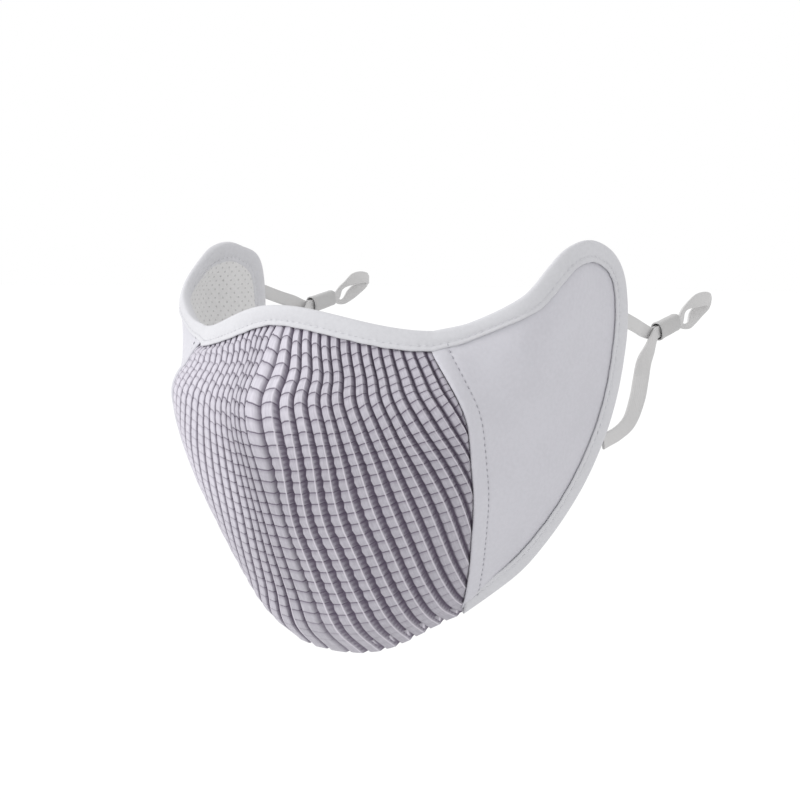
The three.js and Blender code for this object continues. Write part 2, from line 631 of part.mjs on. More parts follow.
const mask = new THREE.Group();
mask.add(frontPanel(pleatedCloth));
mask.add(lining(meshCloth));
mask.add(edgeBinding(bindingCloth));
[{ side: 1, label: 'left' }, { side: -1, label: 'right' }].forEach(({ side, label }) => {
  mask.add(sidePanel(`side_panel_${label}`, side, smoothCloth));
  mask.add(earLoop(`ear_loop_${label}`, side, elastic));
  mask.add(sleeve(`loop_sleeve_${label}`, side, sleeveCloth));
});

export default mask;
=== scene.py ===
"""A sun protection face mask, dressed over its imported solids: a pleated and creased front panel,
smooth cheek panels, a topstitched edge binding, a perforated lining and flat elastic ear loops."""

import math

import bmesh
import bpy
import numpy as np
from bpy.props import FloatProperty, FloatVectorProperty, PointerProperty
from mathutils import Matrix, Vector


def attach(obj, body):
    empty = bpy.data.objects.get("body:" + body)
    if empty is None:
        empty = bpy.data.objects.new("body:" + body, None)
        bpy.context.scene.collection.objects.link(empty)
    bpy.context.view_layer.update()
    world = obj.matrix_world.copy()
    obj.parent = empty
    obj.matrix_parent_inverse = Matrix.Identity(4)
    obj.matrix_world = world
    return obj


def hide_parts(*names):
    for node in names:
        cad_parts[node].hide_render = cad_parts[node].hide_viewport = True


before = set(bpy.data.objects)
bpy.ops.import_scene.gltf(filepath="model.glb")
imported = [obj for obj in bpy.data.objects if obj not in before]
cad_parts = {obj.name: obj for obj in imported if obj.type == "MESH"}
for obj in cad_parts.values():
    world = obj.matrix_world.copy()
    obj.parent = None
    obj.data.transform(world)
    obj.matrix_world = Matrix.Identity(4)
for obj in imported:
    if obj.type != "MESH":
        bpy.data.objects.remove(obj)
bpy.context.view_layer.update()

bl_info = {
    "name": "Sun protection face mask",
    "version": (1, 0, 0),
    "blender": (4, 5, 0),
    "location": "View3D > Sidebar > Mask",
    "description": "Builds a pleated sun protection face mask around its packed solids",
    "category": "Add Mesh",
}

MM = 0.001

# ---- Sizes of the mask, in millimetres ----

BAND_WIDTH = 7.0
BAND_TOP_V = 0.06
BAND_BOTTOM_V = 0.91
RIGHT_BAND_WIDENING = 0.2
CHEEK_FRONT = 0.985
RIGHT_CHEEK_REACH = 0.115
RIGHT_SIDE_DROP = 4.2
RIGHT_SIDE_SWELL = 4.0
RIGHT_SIDE_SAG = 1.2
RIGHT_LOOP_RISE = 3.3
RIGHT_LOOP_SLOPE = 0.03
RIGHT_TAIL_RISE = 0.6
LINING_OUTER = -1.3

# v, middle y and z, nose handle x and z, seam y and z, handle at the seam x, y and z
FRONT_SECTIONS = np.array([
    (0.00, 0.0, 0.0, 16, 0.6, 18.2, -6.8, 13, 11, 0.3),
    (0.06, -0.5, -6.5, 15, 0.0, 16.3, -13.0, 13, 12, 1.0),
    (0.14, -6.0, -16.5, 13, -0.5, 15.4, -20.8, 12, 14, 0.0),
    (0.24, -13.8, -28.5, 11, 0.0, 15.6, -27.6, 10, 15, 0.0),
    (0.31, -13.4, -37.5, 12, 0.0, 17.7, -35.2, 9, 15, 0.0),
    (0.42, -7.8, -50.5, 15, 0.0, 20.7, -45.3, 8, 16, 0.0),
    (0.54, -1.4, -64.5, 18, 0.0, 24.9, -57.0, 8, 16, 1.0),
    (0.66, 5.3, -78.5, 21, 0.0, 29.6, -69.3, 8, 15, 2.0),
    (0.78, 12.2, -92.3, 22, 0.0, 34.7, -81.3, 8, 14, 4.0),
    (0.89, 18.8, -104.8, 24, 0.0, 38.8, -91.0, 9, 12, 5.0),
    (1.00, 30.5, -114.2, 23, 0.0, 41.8, -98.4, 13, 8, 6.0),
])

# Half width of the mask over the cheeks: a row per height, a column per distance back. These values
# come from a least-squares fit, rounded to 0.5 mm. They were not chosen by hand.
CHEEK_BACK = (14, 24, 34, 48, 64, 82)
CHEEK_ROWS = {
    -100: (30.5, 33.5, 36.5, 43.5, 52.0, 62.0),
    -80: (41.0, 45.0, 49.5, 55.5, 60.0, 66.0),
    -55: (52.5, 57.5, 62.0, 67.0, 69.0, 70.5),
    -30: (58.0, 62.0, 67.0, 71.0, 73.5, 74.5),
    -10: (42.0, 56.0, 68.5, 74.0, 75.5, 76.5),
    6: (27.5, 51.0, 68.5, 76.5, 76.5, 76.5),
    22: (25.5, 45.0, 60.5, 72.0, 75.0, 76.0),
}

# Side view of a cheek panel: over the flap, down the rear edge and along the jaw.
FLAP_TOP = [
    (18.2, -6.8), (24.5, -4.0), (32.5, 3.3), (40.5, 12.0), (49.5, 18.7),
    (60.0, 20.9), (69.5, 18.3), (75.5, 13.5), (78.8, 7.0),
]
FLAP_REAR = [(80.3, -4.0), (79.8, -16.0), (78.2, -29.0), (75.6, -39.5)]
FLAP_BOTTOM = [(71.4, -50.0), (66.1, -61.6), (60.9, -72.6), (54.5, -83.8), (47.4, -92.0), (41.8, -98.4)]

# Ear loop: x on the left and on the right, y, z, width share, and turn of the broad face in
# degrees on the left and on the right.
STRAP_STATIONS = np.array([
    (76.2, 76.2, 79.5, -4.6, 1.00, 0, 0),
    (76.2, 76.2, 81.0, -5.0, 1.00, 0, 0),
    (74.8, 75.6, 90.0, -7.4, 1.00, 0, 0),
    (73.3, 74.8, 96.0, -8.9, 1.00, 0, 0),
    (73.2, 74.5, 100.2, -10.1, 0.90, 0, 0),
    (73.2, 74.5, 103.0, -10.47, 0.80, 0, 0),
    (73.2, 74.5, 104.5, -10.15, 0.80, 0, 0),
    (73.2, 74.5, 117.5, -7.33, 0.80, 0, 0),
    (73.2, 74.5, 119.0, -7.01, 0.80, 0, 0),
    (73.4, 75.0, 122.6, -9.1, 0.40, -6, 6),
    (73.4, 75.6, 126.8, -9.1, 0.50, -12, 10),
    (72.3, 75.9, 131.4, -6.9, 0.92, -20, 8),
    (72.0, 75.8, 136.2, -4.5, 1.00, -20, 0),
    (72.8, 75.0, 139.6, -2.2, 1.00, -14, -12),
    (74.2, 73.6, 139.0, -0.8, 1.00, 4, -26),
    (75.0, 72.7, 134.0, -0.3, 1.00, 20, -30),
    (75.1, 72.5, 129.0, -0.9, 0.92, 22, -26),
    (74.4, 72.7, 124.4, -2.3, 0.50, 12, -16),
    (74.3, 73.0, 121.2, -4.0, 0.40, 6, -8),
    (74.5, 73.2, 119.0, -7.01, 0.80, 0, 0),
    (74.5, 73.2, 117.5, -7.33, 0.80, 0, 0),
    (74.5, 73.2, 104.5, -10.15, 0.80, 0, 0),
    (74.6, 73.2, 103.0, -10.47, 0.80, 0, 0),
    (75.3, 72.2, 99.8, -12.6, 0.88, 6, 15),
    (75.5, 71.6, 97.4, -15.4, 1.00, 16, 30),
    (74.5, 71.9, 95.8, -19.4, 1.10, 38, 50),
    (73.5, 72.8, 95.8, -24.8, 1.10, 52, 55),
    (73.3, 73.4, 94.0, -31.5, 1.12, 45, 45),
    (73.2, 73.2, 89.6, -38.3, 1.10, 25, 25),
    (73.0, 73.0, 83.4, -41.6, 1.05, 8, 8),
    (72.6, 72.6, 76.0, -43.6, 1.05, 0, 0),
    (72.6, 72.6, 74.2, -44.0, 1.05, 0, 0),
])
SLEEVE_START = Vector((73.85, 105.0, -10.04))
SLEEVE_END = Vector((73.85, 117.0, -7.44))

# Distance of the topstitching from the folded edge of the binding, and of a cheek panel.
BAND_STITCH = 5.2
CHEEK_STITCH = 5.3
FRONT_EDGE_RUN = 125

# ---- Curves and surfaces ----


def through(keys, values, key):
    """A smooth curve through the values at the keys; values may hold a column per point of key."""
    keys, values = np.asarray(keys, float), np.asarray(values, float)
    key = np.atleast_1d(np.asarray(key, float))
    last = len(keys) - 1
    i = np.clip(np.searchsorted(keys, key) - 1, 0, last - 1)

    def value(j):
        return values[j] if values.ndim == 1 else values[j, np.arange(len(key))]

    def slope(j):
        before, after = np.maximum(j - 1, 0), np.minimum(j + 1, last)
        return (value(after) - value(before)) / (keys[after] - keys[before])

    span = keys[i + 1] - keys[i]
    s = (key - keys[i]) / span
    start = (2 * s**3 - 3 * s**2 + 1) * value(i) + (s**3 - 2 * s**2 + s) * span * slope(i)
    return start + (3 * s**2 - 2 * s**3) * value(i + 1) + (s**3 - s**2) * span * slope(i + 1)


def ease(x):
    s = np.clip(x, 0, 1)
    return s * s * (3 - 2 * s)


def fade(value, start, end):
    """Goes smoothly from 0, where the value is at start, to 1, where it is at end."""
    return ease((value - start) / (end - start))


def unit(vectors):
    return vectors / np.linalg.norm(vectors, axis=-1, keepdims=True)


def cheek_width(y, z):
    back = np.clip(y, CHEEK_BACK[0], CHEEK_BACK[-1])
    at_back = np.stack([through(CHEEK_BACK, row, back) for row in CHEEK_ROWS.values()])
    return through(list(CHEEK_ROWS), at_back, z)


def sections(v, first=1, end=10):
    """Those columns of the front's sections, at the levels v."""
    return [through(FRONT_SECTIONS[:, 0], column, v) for column in FRONT_SECTIONS.T[first:end]]


def seam_line(v):
    return sections(v, 5, 7)


def front_point(across, v):
    """across is 0 on the centre line, 1 on the left seam and -1 on the right one; v runs down."""
    a = np.abs(across)
    mid_y, mid_z, nose_x, nose_z, y, z, *pull = sections(v)
    middle = np.stack([0 * a, mid_y, mid_z], -1)
    nose = middle + np.stack([nose_x, 0 * a, nose_z], -1)
    seam = side_point(y, z)
    a = a[:, None]
    point = (1 - a) ** 3 * middle + 3 * (1 - a) ** 2 * a * nose
    point = point + 3 * (1 - a) * a**2 * (seam - np.stack(pull, -1)) + a**3 * seam
    point[:, 0] *= np.where(across < 0, -1, 1)
    return point


def side_point(y, z):
    return np.stack([cheek_width(y, z), y, z], -1)


def side_normal(y, z):
    step = 0.5
    slope_y = (cheek_width(y + step, z) - cheek_width(y - step, z)) / (2 * step)
    slope_z = (cheek_width(y, z + step) - cheek_width(y, z - step)) / (2 * step)
    return unit(np.stack([np.ones_like(y), -slope_y, -slope_z], -1))


def front_normal(across, v):
    step = 0.012
    at = np.clip(v, step, 1 - step)
    inner = np.clip(across, -1 + step, 1 - step)
    along = front_point(inner + step, at) - front_point(inner - step, at)
    down = front_point(inner, at + step) - front_point(inner, at - step)
    normal = unit(np.cross(down, along))
    side = side_normal(*seam_line(at))
    side[:, 0] *= np.where(across < 0, -1, 1)
    share = ease((np.abs(across) - 0.8) / 0.2)[:, None]
    return unit(normal * (1 - share) + side * share)


def settle(points):
    """The right cheek flap hangs lower than the left one and swells out behind the seam."""
    outward = fade(-points[:, 0], 0, 45)
    upward = fade(points[:, 2], -45, 21)
    forward = fade(points[:, 1], 82, 66)
    behind_seam = fade(points[:, 1], 13, 27) * fade(points[:, 1], 70, 38)
    under_flap = fade(points[:, 2], -60, -19) * fade(points[:, 2], 20, -4)
    swell = outward * behind_seam * under_flap
    points[:, 2] -= RIGHT_SIDE_DROP * outward * upward * forward + RIGHT_SIDE_SAG * swell
    points[:, 0] -= RIGHT_SIDE_SWELL * swell
    return points


def front_shell(across, v, layer):
    across, v = np.atleast_1d(across).astype(float), np.atleast_1d(v).astype(float)
    layer = np.asarray(layer, float).reshape(-1, 1)
    return settle(front_point(across, v) + front_normal(across, v) * layer)


def side_shell(side, y, z, layer):
    layer = np.asarray(layer, float).reshape(-1, 1)
    points = side_point(y, z) + side_normal(y, z) * layer
    points[:, 0] *= side
    return settle(points)


OUTLINE = np.array(FLAP_TOP + FLAP_REAR + FLAP_BOTTOM, float)
OUTLINE_KEYS = np.concatenate([[0], np.cumsum(np.linalg.norm(np.diff(OUTLINE, axis=0), axis=1))])
OUTLINE_LENGTH = OUTLINE_KEYS[-1]
UPPER_CORNER = OUTLINE_KEYS[len(FLAP_TOP) - 1]
LOWER_CORNER = OUTLINE_KEYS[len(FLAP_TOP) + len(FLAP_REAR)]


def outline_point(key):
    return np.stack([through(OUTLINE_KEYS, column, key) for column in OUTLINE.T], -1)


def seam_step(start, end):
    (y0, z0), (y1, z1) = seam_line(start), seam_line(end)
    return np.array([y1[0] - y0[0], z1[0] - z0[0]])


def inset_point(key, distance):
    """A point of the side view, that far in from the folded edge. Near both ends the way in turns
    to follow the seam."""
    key = np.atleast_1d(key)
    before = outline_point(np.maximum(key - 0.5, 0))
    after = outline_point(np.minimum(key + 0.5, OUTLINE_LENGTH))
    along = unit(after - before)
    inward = np.stack([along[:, 1], -along[:, 0]], -1)
    edge = outline_point(key)
    half = inward * BAND_WIDTH / 2
    rise = cheek_width(edge[:, 0] + half[:, 0], edge[:, 1] + half[:, 1]) - cheek_width(edge[:, 0], edge[:, 1])
    step = inward * (BAND_WIDTH / np.hypot(1, rise / (BAND_WIDTH / 2)))[:, None]
    at_top = (1 - ease(key / 16))[:, None]
    at_bottom = (1 - ease((OUTLINE_LENGTH - key) / 16))[:, None]
    step = step + (seam_step(0, BAND_TOP_V) - step) * at_top
    step = step + (seam_step(1, BAND_BOTTOM_V) - step) * at_bottom
    return edge + step * np.reshape(distance, (-1, 1)) / BAND_WIDTH


def inset_levels(inset):
    """Where the seam starts and ends, as v, that far in from the mask's edge."""
    share = inset / BAND_WIDTH
    return share * BAND_TOP_V, 1 - share * (1 - BAND_BOTTOM_V)


def side_fill(along, down, inset):
    """The cheek panel's side view inside that inset, filled in between its four edges."""
    top_v, bottom_v = inset_levels(inset)

    def top(a):
        return inset_point(a * UPPER_CORNER, inset)

    def bottom(a):
        return inset_point(OUTLINE_LENGTH + a * (LOWER_CORNER - OUTLINE_LENGTH), inset)

    rear = inset_point(UPPER_CORNER + down * (LOWER_CORNER - UPPER_CORNER), inset)
    seam = np.stack(seam_line(top_v + down * (bottom_v - top_v)), -1)
    a, d = along[:, None], down[:, None]
    zero, one = np.zeros(1), np.ones(1)
    filled = (1 - d) * top(along) + d * bottom(along) + (1 - a) * seam + a * rear
    corners = (1 - a) * (1 - d) * top(zero) + a * (1 - d) * top(one)
    corners = corners + (1 - a) * d * bottom(zero) + a * d * bottom(one)
    return filled - corners


# ---- Meshes ----


def grid_bmesh(columns, rows, place):
    """A grid of faces whose node (column, row) lies at place(columns, rows), an array in mm."""
    bm = bmesh.new()
    bmesh.ops.create_grid(bm, x_segments=columns, y_segments=rows, size=1.0)
    bm.verts.ensure_lookup_table()
    flat = np.array([v.co[:2] for v in bm.verts])
    c = np.rint((flat[:, 0] + 1) / 2 * columns).astype(int)
    r = np.rint((1 - flat[:, 1]) / 2 * rows).astype(int)
    points = place(c, r) * MM
    for vert, point in zip(bm.verts, points):
        vert.co = point
    return bm, c, r


def finish_piece(bm, name, material, replaces=()):
    """Turns a bmesh into a finished piece that rides on the mask's one body."""
    mesh = bpy.data.meshes.new(name)
    bm.to_mesh(mesh)
    bm.free()
    for polygon in mesh.polygons:
        polygon.use_smooth = True
    mesh.materials.append(material)
    piece = bpy.data.objects.new(name, mesh)
    bpy.context.scene.collection.objects.link(piece)
    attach(piece, "root")
    if replaces:
        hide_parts(*replaces)
    return piece


def layer_of(bm, name):
    return bm.verts.layers.float.get(name) or bm.verts.layers.float.new(name)


def write_layer(bm, name, values):
    layer = layer_of(bm, name)
    for vert, value in zip(bm.verts, values):
        vert[layer] = float(value)


def write_uv(bm, across, down):
    """Distances over the cloth, in metres, as the piece's UV map."""
    uv = bm.loops.layers.uv.verify()
    bm.verts.index_update()
    for face in bm.faces:
        for loop in face.loops:
            i = loop.vert.index
            loop[uv].uv = (across[i] * MM, down[i] * MM)


def close_tube(bm, capped=True):
    """Joins a rolled-up grid along its seam, closes its ends and turns its faces outwards."""
    bmesh.ops.remove_doubles(bm, verts=bm.verts[:], dist=1e-6)
    if capped:
        bmesh.ops.holes_fill(bm, edges=[edge for edge in bm.edges if edge.is_boundary], sides=0)
    bmesh.ops.recalc_face_normals(bm, faces=bm.faces[:])


def thicken(piece, thickness):
    wall = piece.modifiers.new("wall", "SOLIDIFY")
    wall.thickness = thickness * MM
    wall.offset = -1
    wall.use_even_offset = False
    return wall


# ---- Materials ----


class Nodes:
    """A short way to wire a material's nodes."""

    def __init__(self, name):
        self.material = bpy.data.materials.new(name)
        self.material.use_nodes = True
        self.tree = self.material.node_tree
        self.shader = self.tree.nodes["Principled BSDF"]

    def add(self, kind, inputs=None, **settings):
        node = self.tree.nodes.new("ShaderNode" + kind)
        for key, value in settings.items():
            setattr(node, key, value)
        for key, value in (inputs or {}).items():
            self.put(node.inputs[key], value)
        return node

    def put(self, socket, value):
        if isinstance(value, bpy.types.NodeSocket):
            self.tree.links.new(value, socket)
        else:
            socket.default_value = value

    def math(self, operation, a, b=0.0, c=0.0):
        node = self.add("Math", operation=operation)
        for socket, value in zip(node.inputs, (a, b, c)):
            self.put(socket, value)
        return node.outputs[0]

    def times(self, a, b):
        return self.math("MULTIPLY", a, b)

    def mix(self, factor, a, b, blend="MIX"):
        node = self.add("MixRGB", blend_type=blend)
        self.put(node.inputs[0], factor)
        self.put(node.inputs[1], a)
        self.put(node.inputs[2], b)
        return node.outputs[0]

    def attribute(self, name):
        return self.add("Attribute", attribute_name=name).outputs["Fac"]

    def noise(self, vector, scale, detail=2.0):
        node = self.add("TexNoise", {"Vector": vector, "Scale": scale, "Detail": detail})
        return node.outputs["Fac"]

    def ramp(self, value, low, high):
        inputs = {"Value": value, "From Min": low, "From Max": high}
        return self.add("MapRange", inputs, interpolation_type="SMOOTHSTEP").outputs["Result"]

    def waves(self, vector, scale, direction):
        node = self.add(
            "TexWave", {"Vector": vector, "Scale": scale}, wave_type="BANDS", bands_direction=direction
        )
        return node.outputs["Fac"]

    def bump(self, height, distance, normal=None):
        node = self.add("Bump", {"Height": height, "Distance": distance, "Strength": 1.0})
        if normal is not None:
            self.put(node.inputs["Normal"], normal)
        return node.outputs["Normal"]

    def surface(self, inputs):
        for key, value in inputs.items():
            self.put(self.shader.inputs[key], value)

    def relief(self, height, distance):
        """Adds relief on top of the cloth's own."""
        normal = self.shader.inputs["Normal"]
        self.put(normal, self.bump(height, distance, normal.links[0].from_socket))


def rgba(colour):
    return (*(min(channel, 1.0) for channel in colour), 1.0)


def cloth(name, colour, roughness=0.8, weave=0.00045, weave_depth=0.00003, mottle=0.05, sheen=0.15):
    """A fine knit: two crossed sets of fine ribs as bump, and a faint mottle in its colour."""
    nodes = Nodes(name)
    place = nodes.add("UVMap").outputs["UV"]
    object_place = nodes.add("TexCoord").outputs["Object"]
    full_turn = 6.283
    ribs, rows = (nodes.waves(place, 1 / weave / full_turn * math.pi, axis) for axis in "XY")
    knit = nodes.times(ribs, rows)
    speckle = nodes.noise(object_place, 900, 3)
    cloud = nodes.noise(object_place, 60, 2)
    tone = nodes.math("ADD", nodes.times(speckle, 0.6), nodes.times(cloud, 0.4))
    low = tuple(channel * (1 - mottle) for channel in colour)
    high = tuple(min(channel * (1 + mottle), 1) for channel in colour)
    shade = nodes.mix(nodes.ramp(tone, 0.35, 0.65), rgba(low), rgba(high))
    sheens = {"Sheen Weight": sheen, "Sheen Roughness": 0.5}
    nodes.surface({"Roughness": roughness, "Specular IOR Level": 0.25, **sheens})
    nodes.surface({"Normal": nodes.bump(knit, weave_depth)})
    return nodes, shade


# ---- Pleated front ----

CREASES = 31
CREASE_ROWS = (0.0, 0.12, 0.5, 0.88)
PLEAT_UV = 4.5
CREASE_UV = 4.0
# Where across a pleat its ridge lies, and with it the ridge's painted highlight.
RIDGE_PHASE = 0.635
# phase, height, shade
PLEAT_FORM = np.array([
    (0.00, 0.00, 1.0),
    (0.04, 0.22, 0.9),
    (0.08, 0.74, 0.35),
    (0.13, 0.83, 0.06),
    (0.30, 0.88, 0.0),
    (0.55, 0.95, 0.0),
    (0.60, 0.98, 0.0),
    (0.64, 1.00, 0.0),
    (0.68, 0.95, 0.12),
    (0.78, 0.60, 0.5),
    (0.90, 0.22, 0.85),
    (1.00, 0.00, 1.0),
])
VALLEY_LAYER = -0.45
# Where the pleats lie between the centre line and the cheek panel, at nose height: share of the
# pleats' number, and how far it moves.
LEFT_SHIFT = np.array([
    (0.00, 0.000), (0.03, 0.068), (0.10, 0.116), (0.17, 0.123), (0.28, 0.113), (0.40, 0.080), (0.50, 0.058),
    (0.60, 0.036), (0.72, 0.007), (1.00, 0.000),
])
RIGHT_SHIFT = np.array([
    (0.00, 0.0), (0.08, 0.012), (0.15, -0.008), (0.28, -0.050),
    (0.42, -0.073), (0.62, -0.088), (0.83, -0.056), (1.00, 0.0),
])


def cheek_front(side, v):
    """How far from the centre line the front edge of a cheek panel lies: 1 is the lining's seam.
    The right panel reaches further forward over the pleats."""
    return CHEEK_FRONT - (RIGHT_CHEEK_REACH if side < 0 else 0) * fade(v, 0.06, 0.15) * fade(v, 1.0, 0.8)


def pleats_at_seam(v):
    return 15 - 4 * v - 3.5 * v**3 + 1.3 * np.exp(-(((v - 0.24) / 0.17) ** 2))


def across_at_pleat(pleat, v):
    share = np.abs(pleat) / pleats_at_seam(v)
    held = np.clip(share, 0, 1)
    left_level = fade(v, 0, 0.2) * fade(v, 0.62, 0.26)
    right_level = fade(v, 0, 0.15) * fade(v, 0.95, 0.55)
    left = share + left_level * through(LEFT_SHIFT[:, 0], LEFT_SHIFT[:, 1], held)
    right = share + right_level * through(RIGHT_SHIFT[:, 0], RIGHT_SHIFT[:, 1], held)
    return np.where(pleat < 0, -right * cheek_front(-1, v) / CHEEK_FRONT, left)


def pleat_lines():
    """Pleat positions of the columns of one half, from the centre out."""
    centre = [0.0, 0.2, 0.32, 0.4]
    rest = [0.5 + n + phase for n in range(17) for phase in PLEAT_FORM[:-1, 0]]
    return np.array(centre + rest)


class SUNMASK_OT_front(bpy.types.Operator):
    """Add the pleated and creased front panel with its turned hem"""

    bl_idname = "sunmask.front"
    bl_label = "Pleated front"

    def execute(self, context):
        sizes = context.scene.sun_mask
        half = pleat_lines()
        pleats = np.concatenate([-half[:0:-1], half])
        hem_turns = [0.25, 0.6, 1.0, 3.0, 6.0]
        creases = [0.43] + [k + g for k in range(CREASES) for g in CREASE_ROWS if k + g > 0.5] + [CREASES]
        rows = np.array(creases + [CREASES] * len(hem_turns), float)
        hem = np.array([0.0] * len(creases) + hem_turns)
        store = {}

        def place(c, r):
            pleat, crease, turned = pleats[c], rows[r], hem[r]
            size = np.abs(pleat)
            phase = (size + 0.5) % 1.0
            number = np.floor(size + 0.5)
            centre = size < 0.5
            near_end = np.minimum(ease(crease / 3), ease((CREASES - crease) / 2))
            rough_v = crease / CREASES
            rough_share = size / pleats_at_seam(rough_v)
            high = 1 - ease((rough_v - 0.25) / 0.2)
            slanted = np.where(pleat > 0, ease((rough_share - 0.3) / 0.2), 0) * high
            bow = np.where(centre, 1 - (2 * size) ** 2, 1 - (2 * phase - 1) ** 2)
            bow = (0.30 * high + 0.04) * bow * (1 - slanted) + 0.5 * slanted * (phase - 0.5)
            stagger = 0.16 * np.sin(2.4 * number + np.where(pleat < 0, 1.3, 0)) * (0.3 + 0.7 * high)
            v = np.clip((crease - near_end * (bow + stagger)) / CREASES, 0, 1)
            v = v - 0.4 * np.maximum(rough_share - 0.3, 0) ** 1.5 * v * (1 - v)
            beat = crease % 1.0
            pinch = np.exp(-((np.minimum(beat, 1 - beat) / 0.16) ** 2))
            scallop = ease((v - 0.3) / 0.12) * (1 - ease((v - 0.78) / 0.14))
            scallop = scallop * (1 - 0.7 * ease((rough_share - 0.4) / 0.3))
            border = np.where((phase > 0.03) & (phase < 0.4) & ~centre, 1.0, 0.0)
            spread = np.interp(phase, [0.04, 0.08, 0.13, 0.3], [0.05, 0.10, 0.09, 0.02])
            moved = border * pinch * scallop * spread
            across = across_at_pleat(np.sign(pleat) * (size + moved), v)
            edge = np.where(across < 0, cheek_front(-1, v), CHEEK_FRONT) + 0.05
            store["beyond"] = np.abs(across) >= edge
            across = np.clip(across, -edge, edge)
            form = np.interp(phase, PLEAT_FORM[:, 0], PLEAT_FORM[:, 1])
            shade = np.interp(phase, PLEAT_FORM[:, 0], PLEAT_FORM[:, 2])
            middle = np.minimum((0.5 - size) / 0.18, 1)
            form = np.where(centre, 0.95 * middle, form)
            shade = np.where(centre, 1 - middle, shade)
            low = 1 - 0.75 * ease((v - 0.8) / 0.15)
            strength = low * (1 - 0.5 * ease((v - 0.5) / 0.2) * ease((np.abs(across) - 0.6) / 0.3))
            pillow = (0.10 + 0.22 * high) * strength * (np.sin(np.pi * beat) ** 0.6 - 0.7)
            gathered = 0.35 + 0.65 * ease((v - band_top(across)) / 0.03)
            tucked = 1 - 0.75 * ease((np.abs(across) - edge + 0.07) / 0.03)
            flattened = 1 - 0.3 * ease((v - 0.75) / 0.25)
            reach = (sizes.pleat_height * 1000 - VALLEY_LAYER) * gathered * tucked * flattened
            layer = VALLEY_LAYER + reach * form + pillow * form * gathered * tucked
            layer = layer + 0.9 * np.exp(-(((across + 0.35) / 0.28) ** 2)) * fade(v, 0.82, 0.97)
            fold = np.clip(turned, 0, 1)
            layer = np.where(turned > 0, layer - fold * 1.1 * (0.5 + 0.5 * form), layer)
            v = np.where(turned > 0, 1 + 0.006 * np.sin(np.pi * fold) - 0.01 * np.maximum(turned - 1, 0), v)
            start_shadow = 0.5 * fade(v, band_top(across) + 0.035, band_top(across))
            store["shade"] = np.clip(shade + start_shadow * (1 - form), 0, 1)
            softer = 1 - 0.55 * fade(-across, 0.1, 0.5)
            store["creasing"] = strength * near_end * softer * np.where(turned > 0, 0, 1)
            # How strongly the ridges' painted highlight and the painted shade of the teeth beside them show:
            # none on the centre pleat, weaker at the top.
            store["pressed"] = np.where(centre, 0.0, 0.35 + 0.65 * ease((v - 0.2) / 0.15))
            # Painted light: the top of the front, lit from above, and the right half, which faces the light,
            # are painted paler.
            painted_light_top = (1 - fade(v, 0.2, 0.48)) * (1 - 0.6 * fade(across, 0.2, 0.5))
            painted_light_right = fade(-across, 0.0, 0.35) * (1 - 0.6 * fade(v, 0.5, 0.75))
            store["pale"] = np.maximum(painted_light_top, painted_light_right)
            store["uv"] = (size * PLEAT_UV, crease * CREASE_UV)
            return front_shell(across, v, layer)

        bm, c, r = grid_bmesh(len(pleats) - 1, len(rows) - 1, place)
        for name in ("shade", "creasing", "pressed", "pale"):
            write_layer(bm, name, store[name])
        write_uv(bm, *store["uv"])
        beyond = store["beyond"]
        bm.verts.index_update()
        outside = [face for face in bm.faces if all(beyond[vert.index] for vert in face.verts)]
        bmesh.ops.delete(bm, geom=outside, context="FACES")
        bmesh.ops.remove_doubles(bm, verts=bm.verts[:], dist=1e-5)
        piece = finish_piece(bm, "pleated_front", pleated_material(sizes), ["front_panel"])
        thicken(piece, 0.55)
        return {"FINISHED"}


